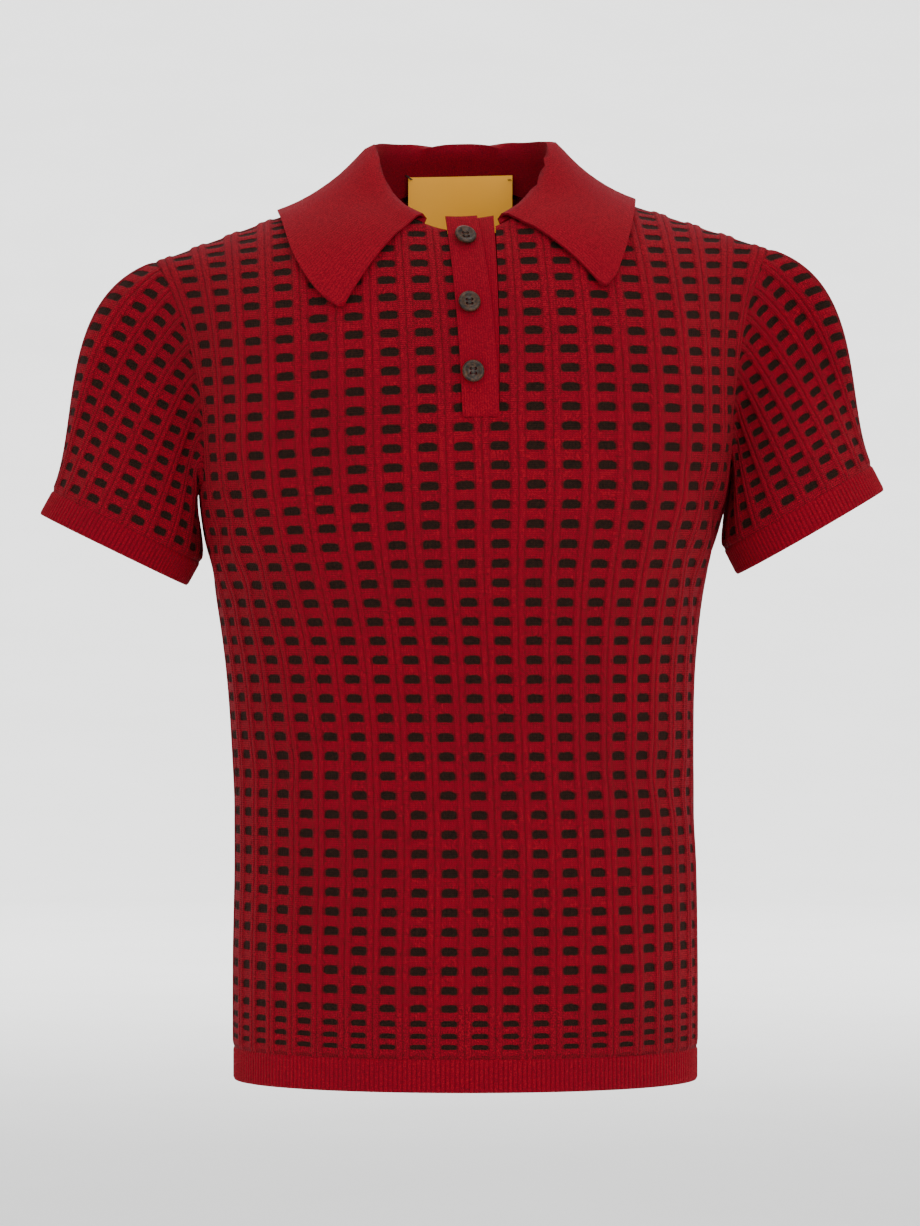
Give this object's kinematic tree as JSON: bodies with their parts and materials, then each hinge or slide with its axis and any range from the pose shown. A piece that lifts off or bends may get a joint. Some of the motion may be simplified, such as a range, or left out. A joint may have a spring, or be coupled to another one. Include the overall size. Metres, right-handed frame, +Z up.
{
  "type": "polo sweater",
  "caption": "Short-sleeved knitted polo sweater with a fold-over collar, a buttoned placket, ribbed hem and cuffs and a ladder-grid knit.",
  "frame": {"origin": "centre line of the neck at the height where the shoulders start, where the wearer's shoulders hold the garment", "axes": "+Z up, the garment faces -Y, the wearer's left is at +X"},
  "size_m": [0.4968, 0.2121, 0.556],
  "materials": {
    "knit": "red ribbed knit with dark brown rungs, matte",
    "trim_knit": "plain red knit, matte",
    "button": "mottled brown, satin",
    "label": "amber woven satin, blank"
  },
  "bodies": {
    "root": {"front": "knit", "back": "knit", "sleeve_right": "knit", "sleeve_left": "knit", "cuff_right": "trim_knit", "cuff_left": "trim_knit", "hem_band": "trim_knit", "collar": "trim_knit", "placket_over": "trim_knit", "placket_under": "trim_knit", "button_1": "button", "button_2": "button", "button_3": "button", "label": "label"}
  },
  "joints": []
}
